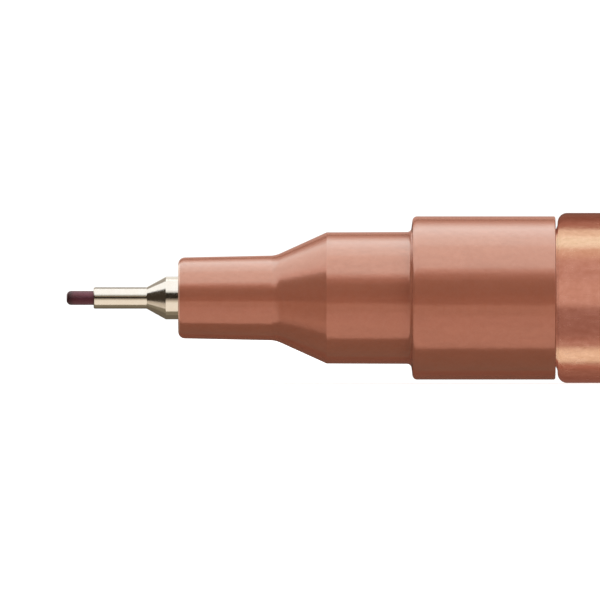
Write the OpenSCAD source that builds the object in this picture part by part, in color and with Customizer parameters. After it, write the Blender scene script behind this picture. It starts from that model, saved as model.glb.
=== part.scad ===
// Extra-fine valve-action paint marker, lying on its side, point towards -X.
// The origin is on the marker's axis, half way along the straight wall of the barrel.
// +X runs from the point to the tail, +Z is up. Millimetres.
// The cap is posted on the tail, with its clip resting on the table beside the barrel.

/* [Point] */
// Diameter of the nib rod
nib_d = 0.82; // [0.7:0.02:0.88]
// Length of nib that stands out of the metal sleeve
nib_out = 1.59; // [1.2:0.01:2.0]
// Outside diameter of the thin tube of the metal sleeve
sleeve_d = 1.26; // [1.16:0.02:1.36]
// Length of the thin tube of the metal sleeve
sleeve_len = 3.11; // [2.5:0.01:3.6]
// Length of the cone of the metal sleeve
cone_len = 1.14; // [0.9:0.01:1.4]
// Diameter of the metal sleeve behind the cone
ferrule_d = 2.52; // [2.4:0.02:2.64]
// Length of the metal sleeve that shows between the cone and the nose
ferrule_out = 0.72; // [0.6:0.01:1.0]

/* [Front section] */
// Nose diameter at its front face
nose_tip_d = 4.75; // [4.5:0.01:4.9]
// Nose diameter at its root
nose_root_d = 4.99; // [4.7:0.01:5.2]
// Length of the nose
nose_len = 5.72; // [5.2:0.01:6.4]
// Length of the taper behind the nose
taper_len = 3.01; // [2.6:0.01:3.4]
// Diameter of the cap seat behind the taper
seat_d = 7.72; // [7.5:0.01:7.74]
// Length of the cap seat
seat_len = 4.95; // [4.5:0.01:5.5]
// Diameter of the collar
collar_d = 9.60; // [9.4:0.01:9.8]
// Length of the collar
collar_len = 8.49; // [8:0.01:9.5]

/* [Barrel] */
// Outside diameter of the barrel
barrel_d = 10.0; // [9.9:0.05:10.2]
// Length of the barrel
barrel_len = 83.93; // [70:0.01:100]
// Radius of the rolled shoulder at the barrel's mouth
shoulder_r = 0.56; // [0.5:0.02:0.92]
// Diameter of the mixing ball
ball_d = 5.5; // [4:0.1:6]

/* [Valve] */
// Travel of the point when it is pressed
press = 1.5; // [0.8:0.1:1.8]
// Turns of the valve spring
spring_turns = 6; // [4:1:8]
// Wire diameter of the valve spring
spring_wire = 0.30; // [0.2:0.05:0.35]

/* [Cap] */
// Outside diameter of the cap
cap_d = 9.6; // [9.4:0.05:9.8]
// Length of the cap without its crown
cap_len = 36.5; // [34:0.5:42]
// Depth of the cap's bore
cap_depth = 23; // [22.5:0.1:24]
// Width of the clip
clip_w = 3.2; // [2.6:0.1:3.4]
// Thickness of the clip's sheet
clip_t = 0.5; // [0.4:0.05:0.6]
// Turn of the clip about the axis, from straight down
clip_angle = 54.6; // [54.6:0.1:90]

/* [Hidden] */
$fn = 96;
running = 0.03;
close = 0.02;

// Stations along the axis, measured from the tip of the nib
u_sleeve = nib_out;
u_cone = u_sleeve + sleeve_len;
u_ferrule = u_cone + cone_len;
u_nose = u_ferrule + ferrule_out;
u_taper = u_nose + nose_len;
u_seat = u_taper + taper_len;
u_collar = u_seat + seat_len;
u_neck = u_collar + collar_len;
u_barrel = u_neck + 0.14;
u_tail = u_barrel + barrel_len;
u_origin = (u_barrel + shoulder_r + u_tail) / 2;

// Inside of the front section
mouth_r = ferrule_d / 2 + running;
u_stop = u_nose + 1.40;
guide_r = 1.65;
u_guide_end = u_taper + 1.72;
chamber_r = 2.60;
u_chamber = u_seat + 0.50;
u_valve = u_collar + 1.34;
valve_bore_r = 3.40;
neck_r = 3.95;
u_spigot = u_barrel + 0.83;
barrel_in_r = barrel_d / 2 - 0.45;
spigot_r = barrel_in_r - 0.05;
u_spigot_end = u_barrel + 7.11;
groove_r = barrel_in_r - 0.63;
ring_r = 0.31;
u_front_ring = u_spigot + 2.70;

// Moving point
u_sleeve_end = u_nose + 2.84;
u_nib_end = u_sleeve_end + 2.60;
u_carrier_end = u_stop + 10.66;
u_stem = u_carrier_end + close;
u_wick = u_nib_end + close;

// Valve
gasket_t = 0.40;
u_cup = u_valve + gasket_t + 2 * close;
u_seat_face = u_valve + 1.62;
lip_h = 0.15;
u_seal = u_seat_face + lip_h + close;
seal_t = 0.66;
u_poppet = u_seal + seal_t + close;
poppet_t = 0.95;
u_spring = u_poppet + poppet_t + close;
u_retainer = u_spring + 5.88 + close;
retainer_t = 1.08;
valve_in_r = 2.75;

// Tail
u_plug = u_tail - 8.0;
u_flange = u_tail + close;
u_post = u_tail + 1.20;
post_len = 6.9;
post_r = seat_d / 2;
plug_in_r = 2.95;
u_tail_ring = u_plug + 4.06;
u_ball = (u_spigot_end + u_plug) / 2;

// Cap, posted on the tail
u_cap = u_post + 0.05;
u_cap_top = u_cap + cap_len;
cap_in_r = seat_d / 2 + 0.05;
u_liner = u_cap + 12.2;
u_liner_end = u_cap + cap_depth - 0.05;
crown_r = 2.97;
crown_socket_r = 3.0;

// Clip, as radius and station
clip_out_r = 6.35;
u_tab = u_cap_top - 1.0;
u_clip_end = u_cap_top - 28.5;

terracotta = [0.62, 0.35, 0.26];
copper = [0.74, 0.48, 0.36];
nickel = [0.82, 0.77, 0.69];
wine = [0.33, 0.17, 0.20];
natural = [0.88, 0.87, 0.82];
dark_rubber = [0.15, 0.15, 0.15];
steel = [0.70, 0.70, 0.70];

// Points of an arc about (cx, cy), from angle a0 to a1
function arc(cx, cy, r, a0, a1, n = 8) =
    [for (i = [0:n]) [cx + r * cos(a0 + (a1 - a0) * i / n), cy + r * sin(a0 + (a1 - a0) * i / n)]];

// Points of an arc of radius r in the corner at p, between the straight lines to a and b
function corner(a, p, b, r, n = 6) =
    let (d1 = (a - p) / norm(a - p), d2 = (b - p) / norm(b - p), half = acos(d1 * d2) / 2,
         c = p + (d1 + d2) / norm(d1 + d2) * r / sin(half),
         v1 = p + d1 * r / tan(half) - c, v2 = p + d2 * r / tan(half) - c,
         a1 = atan2(v1[1], v1[0]), turn = atan2(v2[1], v2[0]) - a1,
         sweep = turn > 180 ? turn - 360 : turn < -180 ? turn + 360 : turn)
    [for (i = [0:n]) c + r * [cos(a1 + sweep * i / n), sin(a1 + sweep * i / n)]];

// The solid of a profile given as [radius, station] points, on the marker's axis
module turned(points) {
    translate([-u_origin, 0, 0]) rotate([0, 90, 0]) rotate_extrude() polygon(points);
}

// Places a shape drawn with +Z along the axis and its zero at the tip of the nib
module on_axis() {
    translate([-u_origin, 0, 0]) rotate([0, 90, 0]) children();
}

// Turns a shape about the axis, so that its down side faces the clip
module to_clip() {
    rotate([-clip_angle, 0, 0]) children();
}

// Thin rod with a rounded writing end
module nib() {
    r = nib_d / 2;
    e = 0.28;
    color(wine) turned(concat(
        [[0, 0]],
        arc(r - e, e, e, -90, 0),
        [[r, u_nib_end - 0.1], [r - 0.1, u_nib_end], [0, u_nib_end]]));
}

// Turned tube, cone and shank that hold the nib
module nib_sleeve() {
    bore = nib_d / 2 + 0.01;
    r = sleeve_d / 2;
    f = ferrule_d / 2;
    e = 0.08;
    color(nickel) turned(concat(
        [[bore, u_sleeve]],
        arc(r - e, u_sleeve + e, e, -90, 0, 5),
        [[r, u_cone], [f, u_ferrule], [f, u_sleeve_end - 0.15], [f - 0.15, u_sleeve_end],
         [bore, u_sleeve_end]]));
}

// Slider that carries the sleeve, stops behind the nose's front wall and pushes the valve
module nib_carrier() {
    socket = ferrule_d / 2 + 0.01;
    color(natural) difference() {
        turned([[socket, u_stop + close], [guide_r - 0.05, u_stop + close], [guide_r - 0.05, u_stop + 5.4],
                [1.15, u_stop + 5.9], [1.15, u_carrier_end], [0, u_carrier_end], [0, u_carrier_end - 0.6],
                [0.75, u_carrier_end - 0.6], [0.75, u_nib_end], [0.45, u_nib_end],
                [0.45, u_sleeve_end + close], [socket, u_sleeve_end + close]]);
        for (a = [0, 90]) on_axis() rotate([0, 0, a]) translate([0, 0, u_stop + 7.6])
            rotate([90, 0, 0]) cylinder(r = 0.4, h = 4, center = true, $fn = 32);
    }
}

// Porous rod that buffers the paint behind the nib
module feed_wick() {
    color([0.75, 0.66, 0.60])
        turned([[0, u_wick], [0.73, u_wick], [0.73, u_carrier_end - 0.65], [0, u_carrier_end - 0.65]]);
}

// Rod, poppet and rear guide pin of the valve
module valve_stem() {
    color(natural) turned([[0, u_stem], [0.75, u_stem], [0.85, u_stem + 0.1], [0.85, u_poppet], [2.0, u_poppet],
        [2.1, u_poppet + 0.1], [2.1, u_poppet + poppet_t], [0.7, u_poppet + poppet_t],
        [0.7, u_retainer + retainer_t + 0.9], [0.5, u_retainer + retainer_t + 1.2],
        [0, u_retainer + retainer_t + 1.2]]);
}

// Washer on the poppet that closes on the valve seat
module stem_seal() {
    color(dark_rubber) turned([[0.87, u_seal], [1.95, u_seal], [2.05, u_seal + 0.1],
        [2.05, u_seal + seal_t], [0.87, u_seal + seal_t]]);
}

// Moulded nose, taper, cap seat, collar and spigot in one piece
module front_section() {
    n = 0.40;
    c = 0.28;
    lean = 0.12;
    front = [nose_tip_d / 2, u_nose + n];
    root = [nose_root_d / 2, u_taper];
    edge = [seat_d / 2, u_seat];
    back = [seat_d / 2 + 0.02, u_collar];
    color(terracotta) turned(concat(
        [[mouth_r + 0.05, u_nose]],
        arc(nose_tip_d / 2 - n, u_nose + n, n, -90, 0),
        corner(front, root, edge, 0.6),
        corner(root, edge, back, 0.15, 3),
        corner(edge, back, [collar_d / 2 - c, u_collar + lean], 0.2),
        arc(collar_d / 2 - c, u_collar + lean + c, c, -90, 0),
        [[collar_d / 2, u_neck - 0.08], [collar_d / 2 - 0.08, u_neck],
         [neck_r, u_neck], [neck_r, u_spigot], [spigot_r - 0.25, u_spigot], [spigot_r, u_spigot + 0.25],
         [spigot_r, u_front_ring - 0.40], [groove_r, u_front_ring - 0.40],
         [groove_r, u_front_ring + 0.40], [spigot_r, u_front_ring + 0.40],
         [spigot_r, u_spigot_end - 0.4], [spigot_r - 0.3, u_spigot_end],
         [valve_bore_r, u_spigot_end], [valve_bore_r, u_valve], [chamber_r, u_valve], [chamber_r, u_chamber],
         [guide_r, u_guide_end], [guide_r, u_stop], [mouth_r, u_stop], [mouth_r, u_nose + 0.05]]));
}

// Cup with the valve seat in its front wall
module valve_body() {
    o = valve_bore_r - close;
    color(natural) turned([[1.3, u_cup], [o - 0.2, u_cup], [o, u_cup + 0.2],
        [o, u_retainer + retainer_t], [valve_in_r, u_retainer + retainer_t], [valve_in_r, u_seat_face],
        [1.75, u_seat_face], [1.6, u_seat_face + lip_h], [1.3, u_seat_face + lip_h]]);
}

// Flat ring that seals the cup against the shoulder in the front section
module valve_gasket() {
    color(dark_rubber) turned([[chamber_r + 0.02, u_valve + close], [valve_bore_r - 0.04, u_valve + close],
        [valve_bore_r - 0.04, u_valve + close + gasket_t], [chamber_r + 0.02, u_valve + close + gasket_t]]);
}

// Coil between the poppet and its retainer
module valve_spring() {
    sides = 6;
    per_turn = 16;
    count = spring_turns * per_turn;
    coil_r = 1.45;
    w = spring_wire / 2;
    z0 = u_spring + w;
    z1 = u_retainer - close - w;
    pts = [for (i = [0:count]) for (j = [0:sides - 1])
        let (a = 360 * i / per_turn, b = 360 * j / sides, rr = coil_r + w * cos(b))
        [rr * cos(a), rr * sin(a), z0 + (z1 - z0) * i / count + w * sin(b)]];
    walls = [for (i = [0:count - 1]) for (j = [0:sides - 1])
        let (k = (j + 1) % sides)
        each [[i * sides + j, (i + 1) * sides + k, i * sides + k],
              [i * sides + j, (i + 1) * sides + j, (i + 1) * sides + k]]];
    ends = [[for (j = [0:sides - 1]) j], [for (j = [sides - 1:-1:0]) count * sides + j]];
    color(steel) on_axis() polyhedron(points = pts, faces = concat(walls, ends));
}

// Disc that holds the spring, guides the stem and lets the paint in
module spring_retainer() {
    o = valve_in_r - close;
    color(natural) difference() {
        turned([[0.75, u_retainer], [o - 0.1, u_retainer], [o, u_retainer + 0.1],
                [o, u_retainer + retainer_t], [0.75, u_retainer + retainer_t]]);
        for (a = [30:120:270]) on_axis() rotate([0, 0, a]) translate([1.95, 0, u_retainer - 1])
            cylinder(r = 0.5, h = 4, $fn = 32);
    }
}

// Ring of round section in a groove of the spigot
module seal_ring(u) {
    on_axis() translate([0, 0, u]) rotate_extrude() translate([groove_r + ring_r + 0.005, 0]) circle(r = ring_r, $fn = 32);
}

module front_seal_ring() { color(dark_rubber) seal_ring(u_front_ring); }

module tail_seal_ring() { color(dark_rubber) seal_ring(u_tail_ring); }

// Drawn tube with its mouth rolled in over the neck of the front section
module barrel() {
    R = barrel_d / 2;
    s = shoulder_r;
    color(copper) turned(concat(
        [[neck_r + 0.05, u_neck + close], [neck_r + 0.33, u_barrel]],
        arc(R - s, u_barrel + s, s, -90, 0, 12),
        [[R, u_tail - 0.08], [R - 0.08, u_tail], [barrel_in_r, u_tail], [barrel_in_r, u_barrel + 0.78],
         [neck_r + 0.05, u_barrel + 0.35]]));
}

// Loose ball that stirs the paint, lying on the barrel's wall
module mixing_ball() {
    color(steel) translate([u_ball - u_origin, 0, -(barrel_in_r - ball_d / 2 - close)]) sphere(d = ball_d);
}

// Plug of the tail, with the post that carries the cap
module tail_plug() {
    e = 0.4;
    f = barrel_d / 2 - 0.05;
    u_end = u_post + post_len;
    color(terracotta) turned(concat(
        [[plug_in_r, u_plug], [spigot_r - 0.25, u_plug], [spigot_r, u_plug + 0.25],
         [spigot_r, u_tail_ring - 0.40], [groove_r, u_tail_ring - 0.40],
         [groove_r, u_tail_ring + 0.40], [spigot_r, u_tail_ring + 0.40],
         [spigot_r, u_flange], [f - 0.12, u_flange], [f, u_flange + 0.12],
         [f, u_post - 0.15], [f - 0.15, u_post], [post_r, u_post]],
        arc(post_r - e, u_end - e, e, 0, 90),
        [[0, u_end], [0, u_end - 1.3], [plug_in_r, u_end - 1.3]]));
}

// Outer cap, with a slot in its top for the clip
module cap_shell() {
    R = cap_d / 2;
    color(terracotta) difference() {
        turned(concat(
            [[cap_in_r + 0.15, u_cap]],
            arc(R - 0.25, u_cap + 0.25, 0.25, -90, 0, 6),
            arc(R - 0.15, u_cap_top - 0.15, 0.15, 0, 90, 4),
            [[crown_socket_r, u_cap_top], [crown_socket_r, u_cap + cap_depth + 1.5], [0, u_cap + cap_depth + 1.5],
             [0, u_cap + cap_depth], [cap_in_r, u_cap + cap_depth], [cap_in_r, u_cap + 0.15]]));
        to_clip() on_axis() translate([2.8, -clip_w / 2 - 0.1, u_tab - 0.15])
            cube([4, clip_w + 0.2, 4]);
    }
}

// Inner cup that closes round the nose when the cap is on the point
module cap_liner() {
    o = cap_in_r - 0.04;
    color(natural) turned([[2.95, u_liner], [o - 0.2, u_liner], [o, u_liner + 0.2], [o, u_liner_end],
        [0, u_liner_end], [0, u_liner_end - 1.0], [2.5, u_liner_end - 1.0], [2.5, u_liner + 0.9]]);
}

// Plug in the top of the cap that locks the clip in its slot
module cap_crown() {
    R = cap_d / 2 - 0.1;
    e = 0.45;
    u0 = u_cap_top + close;
    color(terracotta) turned(concat(
        [[0, u0 - 5.0], [crown_r - 0.2, u0 - 5.0], [crown_r, u0 - 4.8], [crown_r, u0],
         [R - 0.1, u0], [R, u0 + 0.1]],
        arc(R - e, u0 + 1.4 - e, e, 0, 90),
        [[0, u0 + 1.4]]));
}

// Sprung strip of sheet metal: tab in the slot, bend, leaf, bead that bears on the cap, turned-out end
module cap_clip() {
    t = clip_t;
    o = clip_out_r;
    b = 1.0;
    bead_r = 0.55;
    bead_u = u_clip_end + 2.6;
    bead_c = cap_d / 2 + 0.1 + bead_r;
    leaf_in = bead_c + 0.05;
    outline = concat(
        [[crown_socket_r + 0.15, u_tab], [o - b, u_tab]],
        arc(o - b, u_tab - (b - t), b - t, 90, 0, 6),
        [[o - t, u_tab - 2.0], [leaf_in, bead_u + 0.55]],
        arc(bead_c, bead_u, bead_r, 60, -120, 8),
        [[leaf_in + 0.35, u_clip_end], [leaf_in + 0.35 + t, u_clip_end + 0.05]],
        [[leaf_in + t, bead_u - 0.3], [leaf_in + t, bead_u + 0.6], [o, u_tab - 2.0]],
        arc(o - b, u_tab - (b - t), b, 0, 90, 8),
        [[crown_socket_r + 0.15, u_tab + t]]);
    color(nickel) to_clip() on_axis() translate([0, clip_w / 2, 0]) rotate([90, 0, 0])
        linear_extrude(clip_w) polygon(outline);
}

nib();
nib_sleeve();
nib_carrier();
feed_wick();
valve_stem();
stem_seal();
front_section();
valve_gasket();
valve_body();
valve_spring();
spring_retainer();
front_seal_ring();
barrel();
mixing_ball();
tail_plug();
tail_seal_ring();
cap_shell();
cap_liner();
cap_crown();
cap_clip();
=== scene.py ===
import math

import bmesh
import bpy
from mathutils import Matrix, Vector


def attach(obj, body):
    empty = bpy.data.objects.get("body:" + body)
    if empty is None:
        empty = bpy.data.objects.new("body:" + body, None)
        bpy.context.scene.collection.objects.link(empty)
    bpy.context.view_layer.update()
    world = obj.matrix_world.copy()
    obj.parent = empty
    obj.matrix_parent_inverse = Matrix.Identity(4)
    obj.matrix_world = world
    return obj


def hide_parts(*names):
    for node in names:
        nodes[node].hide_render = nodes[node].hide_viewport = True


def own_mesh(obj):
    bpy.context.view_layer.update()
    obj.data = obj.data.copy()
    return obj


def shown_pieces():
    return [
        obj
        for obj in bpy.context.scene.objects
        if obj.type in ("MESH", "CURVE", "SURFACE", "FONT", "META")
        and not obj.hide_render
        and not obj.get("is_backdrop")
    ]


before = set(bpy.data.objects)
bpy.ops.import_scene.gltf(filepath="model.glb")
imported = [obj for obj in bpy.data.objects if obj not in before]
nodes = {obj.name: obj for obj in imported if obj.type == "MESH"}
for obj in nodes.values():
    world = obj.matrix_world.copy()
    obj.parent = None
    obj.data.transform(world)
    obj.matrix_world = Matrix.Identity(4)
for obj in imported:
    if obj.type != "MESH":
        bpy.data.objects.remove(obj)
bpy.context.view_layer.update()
scene = bpy.context.scene

MM = 0.001
U0 = 71.115  # station of the origin, in mm from the tip of the nib
AX = -57.395 * MM  # where the camera looks, along the axis


# ---------------------------------------------------------------- mesh helpers

def rounded_outline(points, step=5.0):
    """Closed outline in (u, r) with corner radii as vertices, and for each segment the normals at its two ends.

    A point is (u, r, corner radius, share of the corner's turn that the normals follow, lean in degrees of the normals
    on the line from this point to the next one, in place of that line's own, ease: below 1 the normals turn early, seen
    from the front).
    """
    pts = [(Vector((p[0], p[1])), p[2] if len(p) > 2 else 0.0, p[3] if len(p) > 3 else 1.0, p[5] if len(p) > 5 else 1.0)
           for p in points]
    leans = [p[4] if len(p) > 4 else None for p in points]
    n = len(pts)
    area = sum(pts[i][0].x * pts[(i + 1) % n][0].y - pts[(i + 1) % n][0].x * pts[i][0].y for i in range(n))
    if area < 0:
        pts.reverse()
        leans = [leans[(n - 2 - j) % n] for j in range(n)]
    verts, arc_of, arc_normal, owner = [], [], [], []
    for i in range(n):
        p, f, soft, ease = pts[i]
        a, b = pts[i - 1][0], pts[(i + 1) % n][0]
        if f <= 0:
            verts.append(p)
            owner.append(i)
            arc_of.append(None)
            arc_normal.append(None)
            continue
        d1, d2 = (a - p).normalized(), (b - p).normalized()
        half = math.acos(max(-1.0, min(1.0, d1.dot(d2)))) / 2
        c = p + (d1 + d2).normalized() * (f / math.sin(half))
        t1, t2 = p + d1 * (f / math.tan(half)), p + d2 * (f / math.tan(half))
        a1 = math.atan2(t1.y - c.y, t1.x - c.x)
        sweep = math.atan2(t2.y - c.y, t2.x - c.x) - a1
        sweep = (sweep + math.pi) % (2 * math.pi) - math.pi
        k = max(3, int(math.ceil(abs(math.degrees(sweep)) / step)))
        out = Vector((-d1.y, d1.x))  # outward normal of the line that arrives at p: (dr, -du) of the direction -d1
        sign = 1.0 if (t1 - c).dot(out) > 0 else -1.0
        for j in range(k + 1):
            ang = a1 + sweep * j / k
            q = Vector((math.cos(ang), math.sin(ang)))
            verts.append(c + q * f)
            owner.append(i)
            arc_of.append(i)
            if ease != 1.0:
                ang = a1 + sweep * ((j / k) ** ease if t2.x > t1.x else 1 - (1 - j / k) ** ease)
                q = Vector((math.cos(ang), math.sin(ang)))
            tilt = math.atan2(q.x * sign, q.y * sign) * soft
            arc_normal.append(Vector((math.sin(tilt), math.cos(tilt))) if soft != 1.0 else q * sign)
    segs = []
    m = len(verts)
    for i in range(m):
        j = (i + 1) % m
        d = verts[j] - verts[i]
        if d.length < 1e-9:
            continue
        if arc_of[i] is not None and arc_of[i] == arc_of[j]:
            segs.append((i, j, arc_normal[i], arc_normal[j]))
        else:
            nrm = Vector((d.y, -d.x)).normalized()
            if leans[owner[i]] is not None:
                lean = math.radians(leans[owner[i]])
                nrm = Vector((math.sin(lean), math.cos(lean)))
            segs.append((i, j, nrm, nrm))
    return verts, segs


def levelled(t, share):
    """Turn of a normal about the axis where the radius is a share of the full one: that of the full radius at the same height.

    It fades out towards the top and the bottom, so the normals stay smooth all round.
    """
    s = math.sin(t)
    flat = math.asin(s * share)
    wanted = flat if math.cos(t) >= 0 else math.pi - flat
    k = min(1.0, max(0.0, (0.99 - abs(s)) / 0.16))
    return t + ((wanted - t + math.pi) % (2 * math.pi) - math.pi) * k * k * (3 - 2 * k)


def lathe(name, points, segs=256, step=5.0, slot=None, level=()):
    """A solid turned about the marker's axis from an outline of (station, radius, corner radius) in mm, with exact normals.

    slot is (station of its floor, half width, turn about the axis): a slot with parallel sides, cut from that station
    to the end of the outline. The outline has a plain point on the floor's station on each side of the wall.
    level lists (station, station, radius): the normals of the outside between the two are levelled to that radius.
    """
    verts2, lines = rounded_outline(points, step)
    floor_u, half_w, turn0 = slot if slot else (1e9, 0.0, 0.0)
    cut = max(8, segs // 9) if slot else 0
    widest = max(v.y for v in verts2)
    co, ring, angles = [], [], []
    for v in verts2:
        if v.y < 1e-6:
            ring.append((len(co), 1))
            angles.append(None)
            co.append(((v.x - U0) * MM, 0.0, 0.0))
            continue
        if slot:
            a = math.asin(half_w / (v.y if v.x > floor_u - 1e-4 else widest))
            ts = [turn0 - a + 2 * a * k / cut for k in range(cut)]
            ts += [turn0 + a + (2 * math.pi - 2 * a) * k / (segs - cut) for k in range(segs - cut)]
        else:
            ts = [2 * math.pi * k / segs for k in range(segs)]
        ring.append((len(co), segs))
        angles.append(ts)
        co += [((v.x - U0) * MM, v.y * math.cos(t) * MM, v.y * math.sin(t) * MM) for t in ts]
    faces, normals = [], []

    def corner(i, k, n2):
        k %= segs
        t = angles[i][k] if angles[i] else 0.0
        for near, far, full in level:
            if near < verts2[i].x < far and n2.y > 0.5:
                t = levelled(t, min(1.0, verts2[i].y / full))
        return (n2.x, n2.y * math.cos(t), n2.y * math.sin(t))

    def strip(i, j, na, nb, ks):
        (si, ni), (sj, nj) = ring[i], ring[j]
        if ni == 1 and nj == 1:
            return
        for k in ks:
            k1 = (k + 1) % segs
            if ni == 1:
                faces.append((si, sj + k, sj + k1))
                normals.extend([corner(j, k, na), corner(j, k, nb), corner(j, k1, nb)])
            elif nj == 1:
                faces.append((si + k, sj, si + k1))
                normals.extend([corner(i, k, na), corner(i, k, nb), corner(i, k1, na)])
            else:
                faces.append((si + k, sj + k, sj + k1, si + k1))
                normals.extend([corner(i, k, na), corner(j, k, nb), corner(j, k1, nb), corner(i, k1, na)])

    above = [v.x > floor_u + 1e-4 for v in verts2]
    for i, j, na, nb in lines:
        strip(i, j, na, nb, range(cut, segs) if above[i] or above[j] else range(segs))
    if slot:
        first = next(i for i in range(len(verts2)) if not above[i] and above[(i + 1) % len(verts2)])
        wall = [first]
        while len(wall) == 1 or above[wall[-1]]:
            wall.append((wall[-1] + 1) % len(verts2))
        last = wall[-1]
        strip(first, last, Vector((1, 0)), Vector((1, 0)), range(cut))
        side = (0.0, -math.sin(turn0), math.cos(turn0))
        faces.append(tuple(ring[i][0] for i in wall))
        normals.extend([side] * len(wall))
        faces.append(tuple(ring[i][0] + cut for i in reversed(wall)))
        normals.extend([tuple(-c for c in side)] * len(wall))
    me = bpy.data.meshes.new(name)
    me.from_pydata(co, [], faces)
    me.polygons.foreach_set("use_smooth", [True] * len(me.polygons))
    me.update()
    me.normals_split_custom_set(normals)
    ob = bpy.data.objects.new(name, me)
    scene.collection.objects.link(ob)
    return ob


def sweep(name, sections):
    """Skins rings of points in mm, all of one length, and closes both ends."""
    co = [tuple(c * MM for c in p) for s in sections for p in s]
    m, n = len(sections), len(sections[0])
    faces = []
    for i in range(m - 1):
        for k in range(n):
            k1 = (k + 1) % n
            faces.append((i * n + k, (i + 1) * n + k, (i + 1) * n + k1, i * n + k1))
    faces.append(tuple(range(n)))
    faces.append(tuple(reversed(range((m - 1) * n, m * n))))
    me = bpy.data.meshes.new(name)
    me.from_pydata(co, [], faces)
    me.update()
    bm = bmesh.new()
    bm.from_mesh(me)
    bmesh.ops.recalc_face_normals(bm, faces=bm.faces)
    bm.to_mesh(me)
    bm.free()
    me.polygons.foreach_set("use_smooth", [True] * len(me.polygons))
    me.set_sharp_from_angle(angle=math.radians(38))
    ob = bpy.data.objects.new(name, me)
    scene.collection.objects.link(ob)
    return ob


# ---------------------------------------------------------------- materials

def new_material(name):
    m = bpy.data.materials.new(name)
    m.use_nodes = True
    nt = m.node_tree
    bsdf = nt.nodes["Principled BSDF"]
    return m, nt, bsdf


def coords(nt, scale):
    tc = nt.nodes.new("ShaderNodeTexCoord")
    mp = nt.nodes.new("ShaderNodeMapping")
    mp.inputs["Scale"].default_value = scale
    nt.links.new(tc.outputs["Object"], mp.inputs["Vector"])
    return mp.outputs["Vector"]


def noise(nt, vec, scale=1.0, detail=3.0, rough=0.55, distortion=0.0):
    t = nt.nodes.new("ShaderNodeTexNoise")
    t.inputs["Scale"].default_value = scale
    t.inputs["Detail"].default_value = detail
    t.inputs["Roughness"].default_value = rough
    t.inputs["Distortion"].default_value = distortion
    nt.links.new(vec, t.inputs["Vector"])
    return t.outputs["Fac"]


def ramp(nt, fac, stops):
    r = nt.nodes.new("ShaderNodeValToRGB")
    el = r.color_ramp.elements
    while len(el) < len(stops):
        el.new(0.5)
    for e, (p, c) in zip(el, stops):
        e.position = p
        e.color = (*c, 1.0)
    nt.links.new(fac, r.inputs["Fac"])
    return r.outputs["Color"]


def to_range(nt, fac, lo, hi, f0=0.0, f1=1.0):
    r = nt.nodes.new("ShaderNodeMapRange")
    r.inputs["From Min"].default_value = f0
    r.inputs["From Max"].default_value = f1
    r.inputs["To Min"].default_value = lo
    r.inputs["To Max"].default_value = hi
    nt.links.new(fac, r.inputs["Value"])
    return r.outputs["Result"]


def add(nt, a, b, op="ADD", k=None):
    x = nt.nodes.new("ShaderNodeMath")
    x.operation = op
    nt.links.new(a, x.inputs[0])
    if k is None:
        nt.links.new(b, x.inputs[1])
    else:
        x.inputs[1].default_value = k
    return x.outputs[0]


def bump(nt, height, distance, strength=1.0, normal=None):
    b = nt.nodes.new("ShaderNodeBump")
    b.inputs["Strength"].default_value = strength
    b.inputs["Distance"].default_value = distance
    nt.links.new(height, b.inputs["Height"])
    if normal is not None:
        nt.links.new(normal, b.inputs["Normal"])
    return b.outputs["Normal"]


def mixed(c, k):
    return tuple(min(1.0, max(0.0, x * k)) for x in c)


PALE = (1.0, 1.6, 2.1)  # a paler spot gains more green and blue than red


def spotted(nt, colour, fac, depth):
    """Darkens a colour by up to twice the depth where fac is low. The colour that comes in is raised by lifted()."""
    dark = tuple((1 - depth * k) / (1 + depth * k) for k in PALE)
    mix = nt.nodes.new("ShaderNodeMix")
    mix.data_type = "RGBA"
    mix.blend_type = "MULTIPLY"
    mix.inputs["Factor"].default_value = 1.0
    nt.links.new(colour, mix.inputs["A"])
    nt.links.new(ramp(nt, fac, [(0.3, dark), (0.7, (1.0, 1.0, 1.0))]), mix.inputs["B"])
    return mix.outputs["Result"]


def lifted(base, *depths):
    for d in depths:
        base = tuple(c * (1 + d * k) for c, k in zip(base, PALE))
    return base


def painted_end_shading(nt, colour, uneven, near, far, painted_tone):
    """Paints light or shade into the colour at the front end of a piece: a lighter tone there is a painted highlight, a
    darker one is painted shade. It is full up to the station near and gone by the station far, in mm from the tip, and
    the noise uneven breaks it up.
    """
    tc = nt.nodes.new("ShaderNodeTexCoord")
    sep = nt.nodes.new("ShaderNodeSeparateXYZ")
    nt.links.new(tc.outputs["Object"], sep.inputs["Vector"])
    painted_light_mask = to_range(nt, sep.outputs["X"], 1.0, 0.0, (near - U0) * MM, (far - U0) * MM)
    painted_light_mask = add(nt, painted_light_mask, to_range(nt, uneven, 0.7, 1.0, 0.35, 0.6), "MULTIPLY")
    mix = nt.nodes.new("ShaderNodeMix")
    mix.data_type = "RGBA"
    nt.links.new(painted_light_mask, mix.inputs["Factor"])
    nt.links.new(colour, mix.inputs["A"])
    mix.inputs["B"].default_value = (*painted_tone, 1.0)
    return mix.outputs["Result"]


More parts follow.
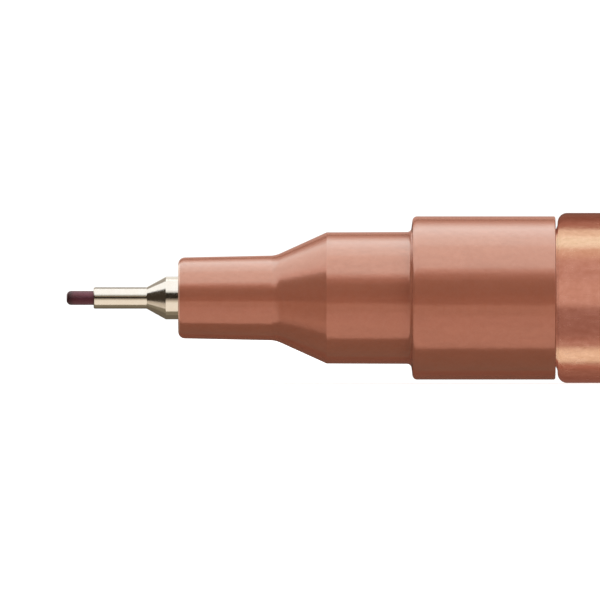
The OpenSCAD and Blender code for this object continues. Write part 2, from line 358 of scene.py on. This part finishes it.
def plastic(name, base, metallic, rough, coat=0.0, coat_rough=0.1, spread=0.04, grain=1.0, mottle=0.045, end=None):
    """Moulded plastic: clouded colour, a fine moulded grain and faint handling marks in the gloss. With end, a tone
    painted into the front end stands in for light or shade there.
    """
    m, nt, b = new_material(name)
    cloud = noise(nt, coords(nt, (500, 900, 900)), 1.0, 4.0, 0.6)
    peel = noise(nt, coords(nt, (3500, 3500, 3500)), 1.0, 2.0, 0.5)
    fine = noise(nt, coords(nt, (9000, 9000, 9000)), 1.0, 2.0, 0.5)
    marks = noise(nt, coords(nt, (900, 7000, 7000)), 1.0, 3.0, 0.65, 0.4)
    high = lifted(base, mottle, 0.015)
    tone = ramp(nt, cloud, [(0.25, mixed(high, 1 - spread)), (0.5, high), (0.75, mixed(high, 1 + spread))])
    tone = spotted(nt, spotted(nt, tone, peel, mottle), fine, 0.015)
    # end paints a lighter or darker tone into the front end, standing in for light or shade there
    if end is not None:
        tone = painted_end_shading(nt, tone, peel, *end)
    nt.links.new(tone, b.inputs["Base Color"])
    nt.links.new(to_range(nt, marks, rough * 0.86, rough * 1.16, 0.3, 0.7), b.inputs["Roughness"])
    if metallic:
        nt.links.new(to_range(nt, peel, metallic * 0.87, metallic * 1.13, 0.3, 0.7), b.inputs["Metallic"])
    b.inputs["IOR"].default_value = 1.49
    b.inputs["Coat Weight"].default_value = coat
    b.inputs["Coat Roughness"].default_value = coat_rough
    n1 = bump(nt, fine, 0.0000012 * grain)
    n2 = bump(nt, peel, 0.000004 * grain, 1.0, n1)
    nt.links.new(bump(nt, cloud, 0.000004 * grain, 1.0, n2), b.inputs["Normal"])
    return m


def metal(name, base, rough, streak, lines, along, spread=0.06, mottle=0.01, drawn=0.0):
    """Metal with marks along one direction: streaks in the tone, the gloss and the surface, a fine mottle and long drawn lines."""
    m, nt, b = new_material(name)
    blot = noise(nt, coords(nt, streak), 1.0, 4.0, 0.6, 0.3)
    hair = noise(nt, coords(nt, lines), 1.0, 3.0, 0.6)
    spots = noise(nt, coords(nt, (3000, 3200, 3200)), 1.0, 2.0, 0.5)
    high = lifted(base, spread, mottle, drawn)
    dark = tuple(c * (1 - spread * k) / (1 + spread * k) for c, k in zip(high, PALE))
    tone = ramp(nt, blot, [(0.28, dark), (0.72, mixed(high, 1.0))])
    tone = spotted(nt, tone, spots, mottle)
    if drawn:
        tone = spotted(nt, tone, noise(nt, coords(nt, (90, 3600, 3600)), 1.0, 3.0, 0.6), drawn)
    nt.links.new(tone, b.inputs["Base Color"])
    both = add(nt, blot, hair, "MULTIPLY")
    nt.links.new(to_range(nt, both, rough * 0.75, rough * 1.3, 0.1, 0.45), b.inputs["Roughness"])
    b.inputs["Metallic"].default_value = 1.0
    n1 = bump(nt, hair, along[0])
    n2 = bump(nt, spots, along[2], 1.0, n1)
    nt.links.new(bump(nt, blot, along[1], 1.0, n2), b.inputs["Normal"])
    return m


# end paints a highlight into the nose's front rim, where its rounded edge catches the light
TERRA = plastic("terracotta_plastic", (0.452, 0.163, 0.107), 0.27, 0.17, coat=0.8, coat_rough=0.16,
                end=(6.60, 6.69, (0.70, 0.45, 0.37)))
COPPER = metal("copper_barrel", (0.80, 0.36, 0.25), 0.23, (900, 1900, 1900), (1200, 9000, 9000),
               (0.0000001, 0.000002, 0.0000015), spread=0.05, mottle=0.045, drawn=0.022)
NICKEL = metal("nickel_plate", (0.86, 0.80, 0.71), 0.14, (4000, 1500, 1500), (9000, 3000, 3000),
               (0.00000005, 0.0000001, 0.0000001), spread=0.02, mottle=0.01)
# end paints shade into the nib's rounded front end, which faces away from the lights
WINE = plastic("wine_nib", (0.115, 0.024, 0.037), 0.35, 0.36, spread=0.14, grain=2.0, mottle=0.08,
               end=(0.24, 0.44, (0.045, 0.011, 0.014)))
WINE.node_tree.nodes["Principled BSDF"].inputs["Specular IOR Level"].default_value = 0.40
NATURAL = plastic("natural_plastic", (0.78, 0.76, 0.68), 0.0, 0.36, spread=0.03)
RUBBER = plastic("black_rubber", (0.02, 0.02, 0.02), 0.0, 0.62, spread=0.2, grain=2.5, mottle=0.15)
STEEL = metal("spring_steel", (0.62, 0.62, 0.60), 0.22, (2500, 2500, 2500), (12000, 12000, 12000),
              (0.0000005, 0.000001, 0.0), spread=0.05, mottle=0.03)
BALL = metal("polished_ball", (0.66, 0.66, 0.65), 0.06, (600, 600, 600), (5000, 5000, 5000),
             (0.0000002, 0.0000004, 0.0), spread=0.03, mottle=0.02)
WICK = plastic("fibre_wick", (0.62, 0.48, 0.40), 0.0, 0.85, spread=0.25, grain=5.0, mottle=0.15)


def dress(ob, material, body, slot, *replaced):
    ob.data.materials.clear()
    ob.data.materials.append(material)
    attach(ob, body)
    if replaced:
        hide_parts(*replaced)
    return ob


# ---------------------------------------------------------------- the point

nib = lathe("nib_rod", [
    (0.10, 0), (0.10, 0.05), (0.0, 0.07, 0.02), (0.0, 0.41, 0.27), (12.0, 0.41, 0.08), (12.0, 0)], 96, 4)
dress(nib, WINE, "point", "nib", "nib")

sleeve = lathe("nib_tube", [
    (1.59, 0.42), (1.59, 0.63, 0.08), (4.70, 0.63, 0.10), (5.84, 1.26, 0.05, 1.0, -9.0), (9.40, 1.26, 0.15), (9.40, 0.42)], 192, 4)
dress(sleeve, NICKEL, "point", "sleeve", "nib_sleeve")

# ---------------------------------------------------------------- front section

section = lathe("front_moulding", [
    (6.56, 1.33, 0.04), (6.56, 2.375, 0.40, 0.35), (12.28, 2.495, 1.50, 1.0, None, 0.36), (15.29, 3.86, 0.12),
    (20.24, 3.88, 0.26, 0.70), (20.36, 4.80, 0.28, 0.40), (28.73, 4.80, 0.10), (28.73, 3.95),
    (29.70, 3.95), (29.70, 4.25), (29.95, 4.50), (32.00, 4.50), (32.00, 3.92), (32.80, 3.92), (32.80, 4.50),
    (35.58, 4.50), (35.98, 4.20), (35.98, 3.40), (21.58, 3.40), (21.58, 2.60), (15.79, 2.60),
    (14.00, 1.65), (7.96, 1.65), (7.96, 1.29), (6.64, 1.29)], level=[(6.50, 6.98, 2.384), (20.25, 20.66, 4.80)])
dress(section, TERRA, "body", "section", "front_section")

# ---------------------------------------------------------------- barrel and tail

barrel = lathe("barrel_tube", [
    (28.745, 4.00, 0.0, 1.0, 0.0), (28.865, 4.28, 0.0, 1.0, 0.0), (28.87, 5.00, 0.56, 0.03), (112.80, 5.00, 0.10),
    (112.80, 4.55), (29.65, 4.55), (29.22, 4.00)], 320, level=[(28.0, 29.60, 5.00)])
dress(barrel, COPPER, "body", "barrel", "barrel")

plug = lathe("tail_end", [
    (104.80, 2.95), (104.80, 4.25), (105.05, 4.50), (108.46, 4.50), (108.46, 3.92), (109.26, 3.92), (109.26, 4.50),
    (112.82, 4.50), (112.82, 4.95, 0.12), (114.00, 4.95, 0.18), (114.00, 3.86, 0.10), (120.90, 3.86, 0.40),
    (120.90, 1.2, 0.1), (120.70, 1.1, 0.1), (120.70, 0), (119.60, 0), (119.60, 2.95)])
dress(plug, TERRA, "body", "section", "tail_plug")

# ---------------------------------------------------------------- cap

CLIP_ANGLE = math.radians(54.6)  # turn of the clip about the axis, from straight down
radial = Vector((0, -math.sin(CLIP_ANGLE), -math.cos(CLIP_ANGLE)))
across = Vector((0, -math.cos(CLIP_ANGLE), math.sin(CLIP_ANGLE)))

shell = lathe("cap_tube", [
    (114.05, 4.06, 0.08), (114.05, 4.80, 0.25), (149.40, 4.80), (150.55, 4.80, 0.15), (150.55, 3.00, 0.05), (149.40, 3.00),
    (138.55, 3.00), (138.55, 0), (137.05, 0), (137.05, 3.91), (114.20, 3.91)], 288,
    slot=(149.40, 1.70, math.atan2(radial.z, radial.y)))
dress(shell, TERRA, "cap", "section", "cap_shell")

liner = lathe("cap_inner_cup", [
    (126.25, 2.95, 0.05), (126.25, 3.87, 0.20), (137.00, 3.87), (137.00, 0), (136.00, 0), (136.00, 2.50, 0.3), (127.15, 2.50)])
dress(liner, NATURAL, "cap", "natural_plastic", "cap_liner")

crown = lathe("cap_top", [
    (145.57, 0), (145.57, 2.97, 0.2), (150.57, 2.97), (150.57, 4.70, 0.10), (151.97, 4.70, 0.45),
    (151.97, 3.30, 0.15), (151.82, 3.20, 0.15), (151.82, 0.55, 0.06), (151.76, 0.5, 0.06), (151.76, 0)])
dress(crown, TERRA, "cap", "section", "cap_crown")

# Clip: strip of sheet metal bent along a line in the plane of the axis, with rolled edges and a rounded tip

def clip_strip():
    t, top = 0.5, 150.55
    line = [(3.18, top - 0.75), (4.6, top - 0.75)]
    for k in range(0, 10):
        a = math.radians(90 - 10 * k)
        line.append((5.35 + 0.75 * math.cos(a), top - 1.5 + 0.75 * math.sin(a)))
    line += [(6.10, top - 3.0)]
    tip, bead = top - 28.45, top - 25.9
    for k in range(1, 16):
        s = k / 16
        line.append((6.10 - 0.34 * s, top - 3.0 + (bead + 1.4 - (top - 3.0)) * s))
    for k in range(0, 17):
        s = k / 16
        line.append((5.76 - 0.58 * math.sin(math.pi * s) ** 2 + 0.12 * s, bead + 1.4 - 2.8 * s))
    for k in range(1, 7):
        s = k / 6
        line.append((5.88 + 0.20 * s * s, bead - 1.4 + (tip - (bead - 1.4)) * s))
    rings = []
    n = len(line)
    for i, (r, u) in enumerate(line):
        a, b = line[max(0, i - 1)], line[min(n - 1, i + 1)]
        d = Vector((b[0] - a[0], b[1] - a[1])).normalized()
        nrm = Vector((-d.y, d.x))
        half = 1.6
        from_tip = u - tip
        if i > 12:
            half = 1.6 - 0.25 * min(1.0, max(0.0, (top - 3.0 - u) / 24.0))
            if from_tip < 1.2:
                s = 1 - max(0.0, from_tip) / 1.2
                half *= math.sqrt(max(0.04, 1 - s * s))
        e = min(0.16, half * 0.5)
        ring = []
        for cx, cy, a0 in ((half - e, t / 2 - e, 0), (-half + e, t / 2 - e, 90), (-half + e, -t / 2 + e, 180), (half - e, -t / 2 + e, 270)):
            for k in range(5):
                a1 = math.radians(a0 + 22.5 * k)
                w, h = cx + e * math.cos(a1), cy + e * math.sin(a1)
                p2 = Vector((r, u)) + nrm * h
                q = radial * p2.x + across * w
                ring.append((p2.y - U0, q.y, q.z))
        rings.append(ring)
    return sweep("clip_strip", rings)


clip = clip_strip()
dress(clip, NICKEL, "clip", "clip", "cap_clip")


# ---------------------------------------------------------------- inside

def coil():
    turns, per, wire, rad = 6, 40, 0.15, 1.45
    z0, z1 = 25.17, 30.75
    rings = []
    for i in range(turns * per + 1):
        s = i / (turns * per)
        f = min(max((s * turns - 0.75) / (turns - 1.5), 0.0), 1.0)
        u = z0 + 0.30 * min(s * turns, 0.75) / 0.75 + (z1 - z0 - 0.6) * f + 0.30 * max(0.0, s * turns - (turns - 0.75)) / 0.75
        a = 2 * math.pi * turns * s
        ring = []
        for k in range(12):
            b = 2 * math.pi * k / 12
            rr = rad + wire * math.cos(b)
            ring.append((u + wire * math.sin(b) - U0, rr * math.cos(a), rr * math.sin(a)))
        rings.append(ring)
    return sweep("valve_coil", rings)


spring = coil()
dress(spring, STEEL, "body", "spring", "valve_spring")
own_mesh(spring)

for n, m in (("nib_carrier", NATURAL), ("feed_wick", WICK), ("valve_stem", NATURAL), ("stem_seal", RUBBER),
             ("valve_gasket", RUBBER), ("valve_body", NATURAL), ("spring_retainer", NATURAL), ("front_seal_ring", RUBBER),
             ("mixing_ball", BALL), ("tail_seal_ring", RUBBER)):
    nodes[n].data.materials.clear()
    nodes[n].data.materials.append(m)
    nodes[n].data.polygons.foreach_set("use_smooth", [True] * len(nodes[n].data.polygons))
    nodes[n].data.set_sharp_from_angle(angle=math.radians(30))

# ---------------------------------------------------------------- floor, light, camera

floor_me = bpy.data.meshes.new("floor")
S = 9.0
floor_me.from_pydata([(-S, -S, -0.00502), (S, -S, -0.00502), (S, S, -0.00502), (-S, S, -0.00502)], [], [(0, 1, 2, 3)])
floor = bpy.data.objects.new("floor", floor_me)
scene.collection.objects.link(floor)
fm, fnt, fb = new_material("pale_floor")
fb.inputs["Base Color"].default_value = (0.90, 0.90, 0.90, 1)
fb.inputs["Roughness"].default_value = 0.9
fb.inputs["Specular IOR Level"].default_value = 0.0
fb.inputs["Emission Color"].default_value = (1, 1, 1, 1)
ftc = fnt.nodes.new("ShaderNodeTexCoord")
flen = fnt.nodes.new("ShaderNodeVectorMath")
flen.operation = "LENGTH"
fnt.links.new(ftc.outputs["Object"], flen.inputs[0])
fnt.links.new(to_range(fnt, flen.outputs["Value"], 0.70, 1.05, 0.15, 0.60), fb.inputs["Emission Strength"])
fm.cycles.emission_sampling = "NONE"
floor_me.materials.append(fm)
floor.visible_diffuse = floor.visible_glossy = floor.visible_transmission = floor.visible_shadow = False
floor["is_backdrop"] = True


def group(name, objects):
    c = bpy.data.collections.new(name)
    for o in objects:
        c.objects.link(o)
    return c


on_floor = group("lit_floor", [floor])
on_barrel = group("lit_barrel", [barrel])
on_bright = group("lit_bright", [sleeve, clip])
on_rest = group("lit_rest", [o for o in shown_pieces() if o not in (barrel, sleeve, clip)])
on_plastic = group("lit_plastic", [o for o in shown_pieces() if o not in (barrel, sleeve, clip, nib)])
on_nib = group("lit_nib", [nib])
DIST = 1.5


def panel(name, low, high, light, x0, x1, receivers):
    """A soft panel far off, seen from the marker between two angles up from the camera's direction, and from x0 to x1 along the axis."""
    mid, half = math.radians((low + high) / 2), math.radians((high - low) / 2)
    d = Vector((0, -math.cos(mid), math.sin(mid)))
    w, h = (x1 - x0) * DIST, 2 * DIST * math.tan(half)
    li = bpy.data.lights.new(name, "AREA")
    li.shape = "RECTANGLE"
    li.size, li.size_y = w, h
    li.energy = max(light) * math.pi * w * h
    li.color = [c / max(light) for c in light]
    ob = bpy.data.objects.new(name, li)
    scene.collection.objects.link(ob)
    y = Vector((0, d.z, -d.y))
    pos = Vector((AX + (x0 + x1) / 2 * DIST, 0, 0)) + d * DIST
    ob.matrix_world = Matrix(((1, y.x, d.x, pos.x), (0, y.y, d.y, pos.y), (0, y.z, d.z, pos.z), (0, 0, 0, 1)))
    ob.visible_camera = False
    ob.light_linking.receiver_collection = receivers
    return ob


def softbox(name, direction, size, light, receivers=None):
    """A soft panel far off in one direction, for every piece or for some."""
    d = Vector(direction).normalized()
    li = bpy.data.lights.new(name, "AREA")
    li.shape = "RECTANGLE"
    li.size, li.size_y = size
    li.energy = max(light) * math.pi * size[0] * size[1]
    li.color = [c / max(light) for c in light]
    ob = bpy.data.objects.new(name, li)
    scene.collection.objects.link(ob)
    ob.location = d * DIST
    ob.rotation_euler = d.to_track_quat("Z", "Y").to_euler()
    ob.visible_camera = False
    if receivers is not None:
        ob.light_linking.receiver_collection = receivers
    return ob


# Plastic: a tall light above and behind with a soft lower edge, and a warmer bounce from below
panel("top_soft", 42, 118, (1.78, 2.02, 1.93), -0.88, 1.4, on_rest)
panel("top_left", 42, 118, (1.82, 1.66, 1.54), -1.03, -0.88, on_rest)
panel("top_fade", 35, 42, (1.22, 1.04, 0.93), -0.8, 1.4, on_rest)
panel("top_fade_low", 27, 34.5, (0.45, 0.28, 0.23), -0.8, 1.4, on_rest)
panel("top_back", 80, 118, (0.16, 0.40, 0.47), -0.5, 1.4, on_rest)
panel("top_far", 98, 118, (0.04, 0.14, 0.20), -0.5, 1.4, on_rest)
panel("top_edge", 118, 124, (1.66, 1.95, 1.88), -1.13, 1.4, on_rest)
panel("top_edge_far", 124, 131, (1.10, 1.05, 0.98), -1.13, 1.4, on_rest)
panel("top_edge_end", 131, 139.5, (0.57, 0.38, 0.32), -1.13, 1.4, on_rest)
panel("front_fill", -14, 27, (0.085, 0.045, 0.03), -3.0, 2.0, on_rest)
panel("low_fade", -10, 3, (0.17, 0.09, 0.065), -1.0, 1.4, on_plastic)
panel("low_soft", -76, -10, (0.80, 0.62, 0.49), -1.0, 1.4, on_plastic)
panel("low_mid", -76, -26, (0.22, 0.18, 0.17), -0.86, 1.4, on_plastic)
panel("low_more", -76, -42, (0.11, 0.11, 0.085), -0.86, 1.4, on_plastic)
panel("low_left", -67, -10, (0.46, 0.30, 0.21), -4.0, -1.0, on_plastic)
panel("edge_line", 139.5, 148, (0.14, 0.05, 0.04), -2.0, 2.0, on_rest)
panel("edge_back", 148, 178, (0.48, 0.28, 0.23), -2.0, 2.0, on_rest)
panel("under", -126, -78, (0.08, 0.12, 0.10), -2.0, 2.0, on_rest)
panel("under_far", -176, -126, (0.108, 0.04, 0.03), -2.0, 2.0, on_rest)
softbox("side_left", (-1, 0, 0), (1.4, 2.6), (0.18, 0.12, 0.09), on_rest)

# Nib: less light from below
panel("nib_front", 6, 30, (0.70, 1.10, 1.10), -1.0, 1.4, on_nib)
panel("nib_low", -42, -10, (0.40, 0.36, 0.34), -1.0, 1.4, on_nib)
panel("nib_low_more", -84, -42, (0.82, 0.74, 0.66), -1.0, 1.4, on_nib)
panel("nib_under", -125, -84, (0.80, 0.80, 0.72), -1.0, 1.4, on_nib)

# Bright metal
panel("bright_top", 40, 118, (1.10, 1.13, 1.17), -1.23, 2.0, on_bright)
panel("bright_fade", 30, 40, (0.82, 0.83, 0.83), -1.0, 2.0, on_bright)
panel("bright_fade_low", 20, 30, (0.32, 0.32, 0.30), -0.2, 2.0, on_bright)
panel("bright_fade_end", 13, 20, (0.20, 0.14, 0.08), -0.2, 2.0, on_bright)
panel("bright_edge", 118, 172, (0.36, 0.34, 0.31), -1.28, 2.0, on_bright)
panel("bright_edge_left", 112, 176, (0.52, 0.53, 0.53), -0.23, -0.045, on_bright)
panel("bright_low", -79, -24, (0.91, 0.83, 0.73), -1.2, 2.0, on_bright)
panel("bright_low_left", -79, -24, (0.53, 0.46, 0.38), -1.5, -1.2, on_bright)
panel("bright_low_fade", -24, -14, (0.66, 0.58, 0.49), -1.0, 2.0, on_bright)
panel("bright_low_edge", -14, -4, (0.26, 0.22, 0.18), -1.0, 2.0, on_bright)
panel("bright_under", -108, -79, (0.19, 0.165, 0.12), -1.5, 2.0, on_bright)
panel("bright_floor", -160, -108, (0.11, 0.095, 0.07), -1.5, 2.0, on_bright)

# Copper
panel("barrel_top", 71, 107.5, (0.95, 1.26, 1.17), -3, 2.5, on_barrel)
panel("barrel_peak", 74, 91, (0.13, 0.42, 0.44), -3, 2.5, on_barrel)
panel("barrel_front", -12, 71, (0.60, 0.54, 0.535), -3, 2.5, on_barrel)
panel("barrel_mid", -12, 24, (0.08, 0.10, 0.09), -3, 2.5, on_barrel)
panel("barrel_high", 56, 71, (0.14, 0.22, 0.15), -3, 2.5, on_barrel)
panel("barrel_low", -72.5, -12, (0.345, 0.262, 0.25), -3, 2.5, on_barrel)
panel("barrel_lower", -72.5, -56, (0.11, 0.10, 0.10), -3, 2.5, on_barrel)
panel("barrel_under", -98, -72.5, (1.00, 1.32, 1.19), -3, 2.5, on_barrel)
panel("barrel_under_fade", -112, -98, (0.13, 0.05, 0.04), -3, 2.5, on_barrel)
panel("barrel_back", 107.5, 127, (0.40, 0.27, 0.24), -3, 2.5, on_barrel)
panel("barrel_far", 127, 150, (0.225, 0.115, 0.092), -3, 2.5, on_barrel)
panel("barrel_rim", 150, 180, (0.188, 0.10, 0.08), -3, 2.5, on_barrel)
panel("barrel_dark", -134, -100, (0.285, 0.19, 0.165), -3, 2.5, on_barrel)
panel("barrel_deep", -180, -134, (0.215, 0.11, 0.09), -3, 2.5, on_barrel)

# The floor, and the sides that the camera doesn't see
panel("floor_light", 40, 140, (0.50, 0.50, 0.50), -1.2, 1.2, on_floor)
softbox("back_left", (-0.75, 0.6, 0.27), (1.1, 0.9), (1.0, 0.97, 0.92))
softbox("back_right", (0.75, 0.6, 0.35), (1.1, 0.9), (1.0, 0.97, 0.92))
softbox("end_right", (1, -0.1, 0.3), (1.2, 1.2), (0.8, 0.78, 0.75))

world = bpy.data.worlds.new("studio")
scene.world = world
world.use_nodes = True
wn = world.node_tree
bg = wn.nodes["Background"]
out = wn.nodes["World Output"]
lp = wn.nodes.new("ShaderNodeLightPath")
white = wn.nodes.new("ShaderNodeBackground")
white.inputs["Color"].default_value = (1, 1, 1, 1)
white.inputs["Strength"].default_value = 1.1
tc = wn.nodes.new("ShaderNodeTexCoord")
sep = wn.nodes.new("ShaderNodeSeparateXYZ")
wn.links.new(tc.outputs["Generated"], sep.inputs["Vector"])
amb = wn.nodes.new("ShaderNodeMapRange")
amb.interpolation_type = "SMOOTHSTEP"
amb.inputs["From Min"].default_value = -0.95
amb.inputs["From Max"].default_value = -0.30
amb.inputs["To Min"].default_value = 0.025
amb.inputs["To Max"].default_value = 0.05
wn.links.new(sep.outputs["Y"], amb.inputs["Value"])
bg.inputs["Color"].default_value = (1.0, 0.75, 0.52, 1)
wn.links.new(amb.outputs["Result"], bg.inputs["Strength"])
mixw = wn.nodes.new("ShaderNodeMixShader")
wn.links.new(lp.outputs["Is Camera Ray"], mixw.inputs["Fac"])
wn.links.new(bg.outputs["Background"], mixw.inputs[1])
wn.links.new(white.outputs["Background"], mixw.inputs[2])
wn.links.new(mixw.outputs["Shader"], out.inputs["Surface"])

scene.view_settings.view_transform = "Standard"
scene.view_settings.look = "None"

cam_data = bpy.data.cameras.new("camera")
cam_data.type = "PERSP"
cam_data.sensor_width = 36.0
cam_data.lens = 1400.0
cam_data.clip_start, cam_data.clip_end = 0.01, 100.0
cam = bpy.data.objects.new("camera", cam_data)
scene.collection.objects.link(cam)
WIDTH = 35.274 * MM  # what the picture spans at the marker's axis
cam.location = (AX, -WIDTH * cam_data.lens / cam_data.sensor_width, -0.00012)
cam.rotation_euler = (math.radians(90), 0, 0)
scene.camera = cam
